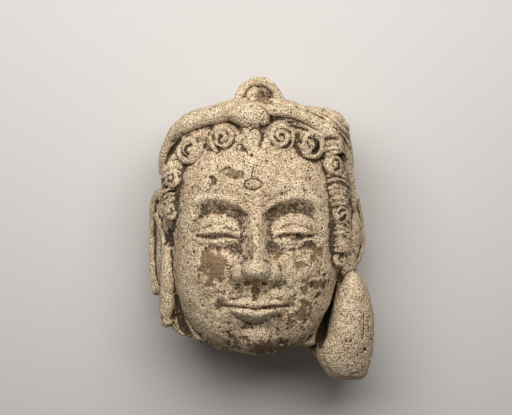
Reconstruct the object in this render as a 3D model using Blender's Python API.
"""Head of a bodhisattva in fired clay, broken off at the neck, lying on its back.

X runs to the right as one looks at the face, Y from the chin to the crown, and Z out of the face.
The origin is the middle of the flat spot at the back of the hair, on which the head lies.

The head is one solid, built as a modeller builds it: a mass of hair, a face pressed on its front,
then rolls, coils and balls of clay laid on and smoothed in. The carving is given in millimetres on
a head of the real size, and MM turns it into metres, so that it keeps its share of the height.
"""

import math

import bmesh
import bpy
import numpy as np
from mathutils import Euler, Matrix, Vector, noise

# Driving dimensions, in metres.
HEIGHT = 0.1485  # the heavy ear lobe's tip to the topknot's top
DEPTH = 0.0863  # the flat spot at the back to the tip of the nose
FINEST_FORM = 0.0009  # the finest form that the solid holds
MOST_TRIANGLES = 9600

# The carving's own units: a millimetre on a head of the real size, across it and through it.
MM = HEIGHT / 148.5
MM_DEEP = DEPTH / 86.3

# The middle of the face, and the plane that parts its front from its back.
MIDLINE = -2.5
EAR_PLANE = 37.0


def ease(low, high, value):
    """0 below low, 1 above high, and a smooth step between them."""
    share = np.clip((value - low) / (high - low), 0, 1)
    return share * share * (3 - 2 * share)


def dome(x, y, middle, reach, power=2.0):
    """A round hill, 1 at its middle and 0 from the edge of its ellipse on."""
    far = ((x - middle[0]) / reach[0]) ** 2 + ((y - middle[1]) / reach[1]) ** 2
    return np.clip(1 - far, 0, 1) ** power


def higher(first, second, blend):
    """The higher of two heights, with the crease between them filled over a width of blend."""
    return (first + second + np.sqrt((first - second) ** 2 + blend**2)) / 2


def curve_through(knots, values, places):
    """Values at the places asked for, on a smooth curve through the knots."""
    knots, values = np.asarray(knots, float), np.asarray(values, float)
    slopes = np.gradient(values, knots)
    i = np.clip(np.searchsorted(knots, places) - 1, 0, len(knots) - 2)
    step = knots[i + 1] - knots[i]
    t = np.clip((places - knots[i]) / step, 0, 1)
    return (
        values[i] * (1 + 2 * t) * (1 - t) ** 2
        + values[i + 1] * t * t * (3 - 2 * t)
        + step * (slopes[i] * t * (1 - t) ** 2 + slopes[i + 1] * t * t * (t - 1))
    )


def smooth_path(points, steps):
    """Points spread evenly in step along a smooth curve through the given ones."""
    points = np.asarray(points, float)
    knots = np.arange(len(points))
    places = np.linspace(0, len(points) - 1, steps)
    return np.stack([curve_through(knots, row, places) for row in points.T], axis=1)


def clay_mesh(name, points, faces):
    """A mesh from points in design millimetres."""
    mesh = bpy.data.meshes.new(name)
    sized = np.asarray(points, float) * (MM, MM, MM_DEEP)
    mesh.from_pydata(sized.tolist(), [], faces)
    return mesh


def clay_loft(name, rings):
    """A closed skin over rings of as many points each, with a flat fan over each end."""
    count, around = len(rings), len(rings[0])
    faces = []
    for i in range(count - 1):
        for j in range(around):
            k = (j + 1) % around
            low, high = i * around, (i + 1) * around
            faces.append((low + j, low + k, high + k, high + j))
    faces.append(tuple(range(around))[::-1])
    faces.append(tuple((count - 1) * around + j for j in range(around)))
    return clay_mesh(name, np.concatenate(rings), faces)


def clay_ball(middle, reach, turn=(0, 0, 0)):
    """A ball of clay, pulled to a reach along each of its axes and then turned, in degrees."""
    mesh = bpy.data.meshes.new("ball")
    bm = bmesh.new()
    bmesh.ops.create_icosphere(bm, subdivisions=4, radius=1.0)
    spin = Euler([math.radians(a) for a in turn]).to_matrix().to_4x4()
    to_metres = Matrix.Diagonal((MM, MM, MM_DEEP, 1))
    shape = to_metres @ Matrix.Translation(middle) @ spin @ Matrix.Diagonal((*reach, 1))
    bmesh.ops.transform(bm, matrix=shape, verts=bm.verts)
    bm.to_mesh(mesh)
    bm.free()
    return mesh


def clay_roll(points, radii, steps=24, thin_ends=False):
    """A roll of clay along a smooth path, as a curve with a round bevel.

    The radii are spread along the path, and thin_ends draws both ends out to a tip."""
    path = smooth_path(points, steps)
    shares = np.linspace(0, 1, len(radii)) if len(radii) > 1 else np.array([0.0, 1.0])
    radii = radii if len(radii) > 1 else [radii[0]] * 2
    thick = curve_through(shares, radii, np.linspace(0, 1, steps))
    if thin_ends:
        along = np.linspace(0, 1, steps)
        thick = thick * np.sqrt(np.clip(np.sin(np.pi * along), 0.04, 1))
    curve = bpy.data.curves.new("roll", "CURVE")
    curve.dimensions = "3D"
    curve.bevel_depth = MM
    curve.bevel_resolution = 3
    curve.use_fill_caps = True
    spline = curve.splines.new("POLY")
    spline.points.add(steps - 1)
    for point, place, radius in zip(spline.points, path, thick):
        point.co = (place[0] * MM, place[1] * MM, place[2] * MM_DEEP, 1)
        point.radius = radius
    helper = bpy.data.objects.new("roll", curve)
    mesh = bpy.data.meshes.new_from_object(helper)
    bpy.data.objects.remove(helper)
    bpy.data.curves.remove(curve)
    return mesh


def broken_edge(x, z):
    """The height of the rough break across the neck, which rises to the back and to the left."""
    slope = -61.5 + 0.17 * (EAR_PLANE + 30 - z) + 0.42 * np.clip(-22 - x, 0, None)
    rough = [noise.noise(Vector((a / 9, b / 9, 0.5))) * 3.2 for a, b in zip(x, z)]
    return slope + np.array(rough)


# The hair mass, given at heights from the neck to the ears; above them it closes as a dome. What
# reaches below 0 at the back is what the flat spot takes off.
HAIR_HEIGHTS = (-64, -40, -15, 10)
HAIR_LEFT = (-43, -44.5, -46.0, -47.2)
HAIR_RIGHT = (30, 36, 42.5, 45)
HAIR_FRONT = (46, 52, 58, 62)
HAIR_BACK = (8, 1, -3, -4.5)
CROWN = 60.5


def hair_mass():
    """The body of the hair and the skull under it, with its rough end at the neck."""
    middle = HAIR_HEIGHTS[-1]
    rise = np.linspace(0, 1, 34) ** 0.6
    heights = np.concatenate([np.linspace(HAIR_HEIGHTS[0], middle, 46)[:-1], middle + (CROWN - middle) * rise])
    turns = np.linspace(0, 2 * np.pi, 120, endpoint=False)
    rings = []
    for y in heights:
        up = np.clip((y - middle) / (CROWN + 0.2 - middle), 0, 1)
        wide = (1 - up**4.6) ** (1 / 4.6)
        deep = (1 - up**2.5) ** (1 / 2.5)
        left, right, front, back = (
            float(curve_through(HAIR_HEIGHTS, row, min(y, middle)))
            for row in (HAIR_LEFT, HAIR_RIGHT, HAIR_FRONT, HAIR_BACK)
        )
        centre = (left + right) / 2
        x = centre + (right - left) / 2 * wide * np.sign(np.cos(turns)) * np.abs(np.cos(turns)) ** 0.8
        reach = np.where(np.sin(turns) > 0, front - EAR_PLANE, EAR_PLANE - back)
        z = EAR_PLANE + reach * deep * np.sign(np.sin(turns)) * np.abs(np.sin(turns)) ** 0.8
        edge = broken_edge(x, z)
        rings.append(np.stack([x, np.maximum(y, edge), z], axis=1))
    return clay_loft("hair_mass", rings)


def soft_ball(x, y, middle, reach, level, rise):
    """The front of a ball of clay whose middle lies at a level, and which falls away outside it."""
    far = np.sqrt(((x - middle[0]) / reach[0]) ** 2 + ((y - middle[1]) / reach[1]) ** 2)
    return level + rise * np.sqrt(np.clip(1 - far**2, 0, 1)) - 6.0 * np.clip(far - 1, 0, None)


def eye_relief(side, y, ground):
    """The sockets under the brows, and the eyeballs under lids that are half closed."""
    brow = curve_through((0, 4, 10, 18, 26, 34, 41), (6.5, 9, 12.6, 14.8, 14.2, 10.8, 6), side)
    deep = curve_through((0, 6, 11, 20, 32, 41), (3.0, 6.2, 5.8, 4.4, 3.2, 1.5), side)
    under = np.clip(brow - y, 0, None)
    socket = (1 - np.exp(-((under / 3.8) ** 1.5))) * ease(-17, -2, y) * ease(34, 27, side)
    ridge = 1.0 * np.exp(-(((y - brow - 0.6) / 2.0) ** 2)) * ease(2, 9, side) * ease(34, 26, side)
    height = ground - deep * socket + ridge
    ball = soft_ball(side, y, (18.6, -1.6), (13.4, 9.6), -7.0, 7.6)
    height = higher(height, ball, 1.8)
    t = np.clip((side - 7.2) / 22.6, 0, 1)
    bow = np.sin(np.pi * t)
    axis = -4.4 + 1.6 * t + 0.5 * np.sin(2 * np.pi * t)
    upper, lower = axis + 1.7 * bow**0.9, axis - 1.3 * bow
    inside = np.minimum(upper - y, y - lower)
    within = ease(6.6, 9.6, side) * ease(30.8, 27.6, side)
    slit = ease(-0.6, 0.7, inside) * within
    lid = np.exp(-(((y - upper - 0.9) / 1.0) ** 2)) + 0.6 * np.exp(-(((y - lower + 0.9) / 0.9) ** 2))
    fold = np.exp(-(((y - (axis + 6.0 * bow**0.8)) / 0.9) ** 2)) * ease(9, 14, side) * ease(29.5, 24, side)
    return height - 1.5 * slit + 0.55 * lid * within - 0.7 * fold


def nose_relief(x, y, ground):
    """The ridge, the tip and the wings of the nose, and the nostrils under it."""
    side = np.abs(x)
    marks = (-31, -28.5, -26.3, -24.3, -21.5, -18.5, -14, -7, 0, 6, 11, 16)
    rise = (-1.0, 0.2, 2.4, 7.6, 11.4, 12.4, 10.8, 7.8, 4.8, 2.6, 1.0, -1.0)
    ridge = curve_through(marks, rise, y)
    width = curve_through((-31, -24, -18, -10, 0, 8, 16), (7.5, 7.2, 7.0, 6.4, 5.4, 5.4, 8), y)
    nose = -4.0 + (ridge + 4.0) * np.exp(-((side / width) ** 2.2))
    height = higher(ground, nose, 1.8)
    tip = soft_ball(x, y, (0, -19.2), (6.8, 6.0), 5.0, 8.0)
    wing = soft_ball(side, y, (7.4, -20.8), (4.7, 4.9), -0.8, 6.6)
    height = higher(height, tip, 1.8)
    height = higher(height, wing, 1.4)
    return height - 1.7 * dome(side, y, (4.1, -25.6), (2.4, 1.5))


def mouth_relief(x, y, ground):
    """Two full lips, closed, with a bow above and a soft dent at each corner."""
    side = np.abs(x)
    t = np.clip(side / 15.5, 0, 1)
    line = -37.0 + 0.9 * t**2 - 0.5 * np.exp(-((side / 2.2) ** 2))
    bow = line + (5.4 - 1.1 * np.exp(-((side / 1.8) ** 2))) * np.clip(1 - t**2.0, 0, 1) ** 0.8
    low = line - 6.8 * np.clip(1 - (side / 13.6) ** 2, 0, 1) ** 0.8
    over = np.clip((y - line) / np.maximum(bow - line, 0.3), 0, 1)
    upper_lip = 2.9 * np.sin(np.pi * over**0.7) ** 0.8 * ease(16, 9, side)
    below = np.clip((line - y) / np.maximum(line - low, 0.3), 0, 1)
    lower_lip = 4.0 * np.sin(np.pi * below**0.75) ** 0.8 * ease(13.8, 8, side)
    parting = np.exp(-(((y - line) / 0.85) ** 2)) * ease(17.0, 13.0, side)
    corner = dome(side, y, (16.4, -36.2), (4.6, 4.6))
    groove = dome(x, y, (0, -29.5), (2.4, 4.4))
    return ground + upper_lip + lower_lip - 1.9 * parting - 1.2 * corner - 0.8 * groove


def face_relief(x, y):
    """How far the clay of the face stands out from the plain egg under it."""
    side = np.abs(x)
    height = 2.2 * dome(side, y, (22, -15), (17, 20))
    height = height + 3.2 * dome(x, y, (0, -37), (21, 16))
    height = height + 5.2 * dome(x, y, (0, -54.5), (15, 11))
    height = height - 1.0 * dome(x, y, (0, -46.4), (12, 3.6))
    height = eye_relief(side, y, height)
    height = nose_relief(x, y, height)
    height = mouth_relief(x, y, height)
    return height + 0.8 * dome(x, y, (-1.3, 21.4), (3.5, 2.3), 0.6)


FACE_TOP, FACE_BOTTOM, FACE_MIDDLE = 50.0, -62.0, 4.0
FACE_HALF_WIDTH = 39.0
FACE_FRONT, FACE_BACK = 36.0, 20.0


def face():
    """An egg, wider at the cheekbones than at the jaw, with the features raised on its front."""
    swing = np.linspace(-np.pi / 2, np.pi / 2, 190)[1:-1]
    turns = np.linspace(0, 2 * np.pi, 280, endpoint=False)
    rings = []
    for s in swing:
        reach = FACE_TOP - FACE_MIDDLE if s > 0 else FACE_MIDDLE - FACE_BOTTOM
        share = abs(math.sin(s)) ** 0.9
        y = FACE_MIDDLE + math.copysign(share, s) * reach
        half = FACE_HALF_WIDTH * (1 - share ** (2.5 if s > 0 else 3.0)) ** (1 / 2.3)
        deep = (1 - share**3.6) ** (1 / 3.2)
        x = half * np.sign(np.cos(turns)) * np.abs(np.cos(turns)) ** 0.85
        out = np.sign(np.sin(turns)) * np.abs(np.sin(turns)) ** 0.85
        reach_z = np.where(out > 0, FACE_FRONT, FACE_BACK)
        z = EAR_PLANE + reach_z * deep * out
        z = z + face_relief(x, np.full_like(x, y)) * ease(0.12, 0.5, out)
        edge = np.where(z < EAR_PLANE + 18, broken_edge(x, z), -99)
        rings.append(np.stack([x + MIDLINE, np.maximum(y, edge), z], axis=1))
    return clay_loft("face", rings)


# The curls: middle, the way each faces, its radius, turns and sense.
CURLS = (
    ((-17.6, 43.0, 63.2), (-0.25, 0.14, 1.0), 8.2, 2.0, 1),
    ((-33.8, 38.0, 58.0), (-0.50, 0.12, 1.0), 7.2, 1.7, 1),
    ((9.2, 43.8, 63.4), (0.15, 0.10, 1.0), 8.4, 2.0, -1),
    ((23.6, 40.4, 61.6), (0.35, 0.16, 1.0), 7.4, 1.7, -1),
    ((35.0, 30.8, 60.2), (0.50, 0.15, 1.0), 5.2, 1.5, -1),
    ((38.4, 7.2, 58.4), (0.55, 0.05, 1.0), 4.7, 1.4, -1),
    ((38.0, -14.6, 56.0), (0.55, 0.0, 1.0), 4.0, 1.3, -1),
    ((-42.2, 24.4, 55.6), (-0.60, 0.1, 1.0), 4.8, 1.5, 1),
    ((-43.2, 8.6, 54.2), (-0.65, 0.0, 1.0), 4.5, 1.5, 1),
)


def curl(middle, facing, radius, turns, sense):
    """A snail curl: a low dome with a roll wound round on it to the middle."""
    spin = Vector(facing).to_track_quat("Z", "Y")
    steps = int(18 * turns) + 8
    roll = radius * 0.2
    share = np.linspace(0, 1, steps)
    angle = sense * 2 * np.pi * turns * share + 0.6
    out = (radius - roll) * (1 - share) ** 0.9
    lift = radius * 0.30 * (1 - (out / radius) ** 2) + roll * 1.1
    path = [
        Vector(middle) + spin @ Vector((o * math.cos(a), o * math.sin(a), h))
        for o, a, h in zip(out, angle, lift)
    ]
    wound = clay_roll([tuple(p) for p in path], [roll * 0.9, roll * 1.0, roll * 1.2], steps * 2)
    turn = [math.degrees(a) for a in spin.to_euler()]
    return [clay_ball(middle, (radius, radius, radius * 0.5), turn), wound]


def curls():
    """All the snail curls."""
    return [piece for row in CURLS for piece in curl(*row)]


# Locks at the sides: the path of each from where it springs to its curl, its half width, how many
# ridges cross it, each bowed up towards the root, and how much of its width is left at its end.
LOCKS = (
    (((31.4, 48.4, 56), (34.0, 43.0, 57.5), (35.4, 35.5, 58.5)), 5.5, 3, 1.0),
    (((36.4, 25.5, 56), (37.2, 19, 56.6), (37.8, 11.5, 56.6)), 5.3, 3, 1.0),
    (((38.2, 3.0, 55), (38.6, -3.5, 54.8), (38.4, -11.0, 54.4)), 4.8, 3, 1.0),
    (((-41.4, 32, 51.5), (-42.0, 28, 52), (-42.6, 20.5, 52)), 5.3, 2, 1.0),
    (((-43.2, 16.5, 51), (-43.0, 8, 51), (-41.2, -1.5, 48)), 4.8, 3, 0.4),
)


def locks():
    """A roll for the body of each lock, and the ridges that lie across it like stacked bows."""
    rolls = []
    for path, half, ridges, left in LOCKS:
        rolls.append(clay_roll(path, [half * 0.96, half * 1.0, half * 0.98 * left], 20))
        lean = math.copysign(0.15, path[0][0])
        widths = half * (1 - (1 - left) * np.linspace(0, 1, ridges) ** 2)
        for place, width in zip(smooth_path(path, ridges), widths):
            bows = []
            for a in np.linspace(0, 1, 9) * np.pi:
                aside = 0.94 * width * math.cos(a)
                over = 0.92 * math.sqrt(width**2 - aside**2)
                bows.append(place + np.array((aside, width * 0.55 * math.sin(a), over - lean * aside)))
            rolls.append(clay_roll(bows, [1.1, 1.2, 1.1], 24))
    return rolls


def hair_under_curls():
    """The hair that shows between the curls and the band, and beside the face behind the locks."""
    over = (
        (-44.0, 28, 48.0),
        (-40.5, 35.5, 51.0),
        (-33.8, 41.5, 54.0),
        (-25.5, 45.0, 56.5),
        (-16, 46.5, 57.8),
        (-4, 47.5, 58.5),
        (9, 46.8, 58.0),
        (17, 45.0, 57.2),
        (25, 41.0, 55.5),
        (32, 36, 53.0),
    )
    left = ((-33.5, 36, 53.5), (-36.4, 27, 54), (-37.6, 16, 53), (-38.6, 4, 51), (-39.2, -8, 47.5))
    right = ((30.0, 33, 55.5), (32.4, 24, 55.5), (33.6, 12, 55.2), (34.2, 0, 54), (34.6, -13, 50.5))
    return [
        clay_roll(over, [3.5, 4.6, 5.2, 5.4, 5.4, 5.4, 5.4, 5.2, 5.0, 4.5], 48),
        clay_roll(left, [3.2, 3.8, 4.0, 3.6, 2.4], 30),
        clay_roll(right, [3.0, 3.6, 3.8, 3.6, 2.6], 30),
        clay_ball((38.4, 34.2, 56.0), (2.4, 2.8, 2.4)),
    ]


BAND = (
    (-47.4, 27, 45),
    (-46.0, 38, 49.5),
    (-41.0, 46.6, 54),
    (-32.6, 52.2, 58.5),
    (-20.0, 56, 63),
    (-4.0, 57.5, 65),
    (11.0, 56.5, 64.0),
    (23.5, 52.4, 61.5),
    (33.2, 46.0, 58.5),
    (40.4, 36.6, 54.5),
    (43.4, 24, 50),
    (45.4, 10, 42),
)


def band():
    """The fillet across the hair, thicker on the left, with its knot, and the swell of hair under it."""
    radii = [2.2, 3.2, 3.4, 3.5, 3.7, 3.8, 2.3, 2.4, 2.5, 2.5, 2.2, 1.6]
    swell = [2.0, 4.0, 6.5, 7.2, 7.5, 7.8, 7.6, 7.0, 6.5, 4.5, 3.0, 2.0]
    knot = ((-19, 55.2, 63.6), (-13, 55.4, 65.4), (-6.5, 54.7, 66.8), (-1.5, 53.5, 67.4), (3.4, 52.6, 67.0))
    inner = np.array(BAND) * (0.97, 0.97, 1) + (0, 0, -2)
    for place, radius in zip(inner, swell):
        place[2] -= radius * 0.9
    return [
        clay_roll(inner, swell, 60),
        clay_roll(BAND, radii, 60),
        clay_roll(knot, [3.6, 4.8, 6.2, 6.4, 6.4], 40, thin_ends=True),
    ]


def parting_drop():
    """The long drop that hangs from the knot on the parting of the hair."""
    return [
        clay_ball((-4.5, 43.8, 67.2), (4.1, 9.6, 3.0), (-8, 0, 4)),
        clay_ball((1.0, 39.4, 65.6), (4.4, 2.6, 1.9), (0, 10, -14)),
    ]


def hair_behind_band():
    """The two bunches of hair that show behind the ends of the band."""
    return [
        clay_ball((32.5, 48.5, 46.0), (11.0, 9.6, 13.5), (0, 0, -38)),
        clay_ball((-33.0, 47.5, 44.0), (10.5, 8.0, 13.0), (0, 0, 38)),
    ]


def topknot():
    """The knot on the crown: an arched rim round a low boss, on a core that joins the hair."""
    arch = (
        (-12.2, 57, 54),
        (-11.0, 63.4, 54),
        (-7.0, 69.4, 53),
        (-1.2, 71.8, 52),
        (4.6, 69.6, 53),
        (8.6, 63.6, 54),
        (9.6, 57, 54),
    )
    return [
        clay_ball((-1.2, 60.6, 44.0), (10.8, 11.4, 12.5)),
        clay_roll(arch, [2.1, 2.1, 1.9], 36),
        clay_ball((-3.2, 62.6, 52.8), (4.7, 6.0, 4.8)),
    ]


def left_ear():
    """The ear seen edge on, its rim and fold, and the long lobe slit into two strips."""
    rim = (
        (-47, 14, 38),
        (-49.5, 17.0, 34),
        (-52.2, 12, 29),
        (-53.2, 0, 27),
        (-53.0, -12, 28),
        (-52.2, -22, 30),
        (-51.2, -32, 31.5),
    )
    fold = ((-51.6, 7.0, 36), (-49.0, 2.0, 40), (-47.2, -4.0, 41.5), (-47.0, -12.0, 41), (-48.0, -22.0, 38))
    lobe = ((-44.6, -9.0, 44.5), (-45.0, -18, 46.0), (-45.6, -30, 45.0), (-45.8, -39, 42.5), (-45.6, -47, 39.5))
    return [
        clay_ball((-47.5, 1.0, 29.0), (4.4, 17.0, 12.0)),
        clay_ball((-47.6, -9.0, 31.0), (4.4, 23.0, 10.0)),
        clay_roll(rim, [2.5, 2.6, 2.4, 2.5, 2.8, 2.8, 2.7], 44),
        clay_roll(fold, [1.5, 2.0, 2.1, 1.6], 24),
        clay_roll(lobe, [2.4, 3.2, 3.5, 3.7, 3.6], 36),
        clay_ball((-43.0, -30.0, 31.0), (5.4, 17.5, 13.0)),
        clay_ball((-45.2, 18.8, 45.0), (3.6, 5.5, 5.0)),
        clay_ball((-45.0, 3.0, 43.0), (3.0, 6.0, 5.0)),
        clay_ball((-43.0, -4.0, 40.0), (4.0, 8.0, 4.4)),
    ]


def right_ear():
    """The ear behind the side curls, of which only the rim shows from the front."""
    rim = ((44.0, 16.0, 38), (47.0, 14.0, 34), (48.6, 5, 30), (49.0, -6, 29), (47.2, -14, 32), (44.0, -18, 37))
    fold = ((46.2, 7.0, 37), (47.6, 1.5, 34.5), (47.6, -5.0, 34), (46.0, -11.0, 37))
    return [
        clay_ball((45.0, -1.0, 30.0), (4.2, 16.5, 12.0)),
        clay_roll(rim, [2.0, 2.4, 2.3], 36),
        clay_roll(fold, [1.6, 1.9, 1.6], 24),
    ]


# The heavy lobe at heights from its tip up: where its left, right, back and front sides lie.
LOBE = (
    (-74.8, 37.6, 50.0, 28.0, 40.0),
    (-73.0, 34.4, 52.0, 24.0, 44.0),
    (-69.0, 31.0, 53.5, 20.5, 48.0),
    (-62.0, 27.8, 54.8, 18.0, 51.0),
    (-52.0, 31.0, 55.6, 17.5, 53.5),
    (-42.0, 33.6, 55.4, 19.0, 54.5),
    (-33.0, 35.6, 53.6, 22.0, 54.0),
    (-26.0, 38.0, 50.8, 26.0, 52.0),
    (-21.5, 40.4, 47.6, 31.0, 48.0),
    (-19.4, 42.4, 45.0, 35.0, 44.0),
)


def heavy_lobe():
    """The swollen lobe on the right, which hangs past the chin, and the clay that joins it to the neck."""
    table = np.array(LOBE)
    heights = np.linspace(table[0, 0], table[-1, 0], 60)
    turns = np.linspace(0, 2 * np.pi, 64, endpoint=False)
    rings = []
    for y in heights:
        left, right, back, front = (float(curve_through(table[:, 0], column, y)) for column in table.T[1:])
        x = (left + right) / 2 + (right - left) / 2 * np.sign(np.cos(turns)) * np.abs(np.cos(turns)) ** 0.9
        z = (back + front) / 2 + (front - back) / 2 * np.sign(np.sin(turns)) * np.abs(np.sin(turns)) ** 0.9
        rings.append(np.stack([x, np.full_like(x, y), z], axis=1))
    return [
        clay_loft("heavy_lobe", rings),
        clay_ball((41.5, -20.0, 38.0), (5.0, 9.5, 9.0), (0, 0, -12)),
        clay_roll(((20, -44, 21), (28, -51.5, 21), (37, -57, 26), (42, -59, 31)), [12.5, 10.0, 8.5, 8.0], 24),
    ]


def joined(meshes, name):
    """One mesh that holds the pieces' faces, and one object of it in the scene."""
    bm = bmesh.new()
    for mesh in meshes:
        bm.from_mesh(mesh)
        bpy.data.meshes.remove(mesh)
    bmesh.ops.recalc_face_normals(bm, faces=bm.faces)
    whole = bpy.data.meshes.new(name)
    bm.to_mesh(whole)
    bm.free()
    obj = bpy.data.objects.new(name, whole)
    bpy.context.scene.collection.objects.link(obj)
    return obj


def pressed_together(obj, voxel, passes):
    """Modifiers that make one skin of the overlapping pieces and soften its creases."""
    skin = obj.modifiers.new("one_skin", "REMESH")
    skin.mode = "VOXEL"
    skin.voxel_size = voxel
    soft = obj.modifiers.new("soften", "SMOOTH")
    soft.factor = 0.5
    soft.iterations = passes


def triangle_count(obj):
    """Triangles of the object as its modifiers leave it."""
    graph = bpy.context.evaluated_depsgraph_get()
    mesh = obj.evaluated_get(graph).to_mesh()
    mesh.calc_loop_triangles()
    return len(mesh.loop_triangles)


def bench_cutter():
    """The plane of the bench, as a block that takes the round off the back."""
    size = 3 * HEIGHT
    bpy.ops.mesh.primitive_cube_add(size=size, location=(0, 0, -size / 2))
    block = bpy.context.object
    block.name = "bench_cutter"
    block.display_type = "WIRE"
    block.hide_render = True
    return block


def fired_clay():
    """Buff clay, dry and matt."""
    material = bpy.data.materials.new("fired_clay")
    material.use_nodes = True
    shader = material.node_tree.nodes["Principled BSDF"]
    shader.inputs["Base Color"].default_value = (0.50, 0.38, 0.26, 1)
    shader.inputs["Roughness"].default_value = 0.92
    shader.inputs["Metallic"].default_value = 0.0
    material.diffuse_color = (0.50, 0.38, 0.26, 1)
    return material


def forms():
    """Every mass, roll and ball of clay that makes the head."""
    pieces = [hair_mass(), face()]
    hair = (hair_under_curls, curls, locks, band, parting_drop, hair_behind_band, topknot)
    for part in (*hair, left_ear, right_ear, heavy_lobe):
        pieces.extend(part())
    return pieces


def build():
    """Clears the scene and makes the head."""
    for obj in list(bpy.data.objects):
        bpy.data.objects.remove(obj, do_unlink=True)
    head = joined(forms(), "bodhisattva_head")
    head.data.materials.append(fired_clay())
    pressed_together(head, FINEST_FORM, passes=2)
    thin = head.modifiers.new("fewer_faces", "DECIMATE")
    thin.ratio = min(1.0, MOST_TRIANGLES / triangle_count(head))
    cut = head.modifiers.new("flat_spot", "BOOLEAN")
    cut.operation = "DIFFERENCE"
    cut.solver = "EXACT"
    cut.object = bench_cutter()


if __name__ == "__main__":
    build()
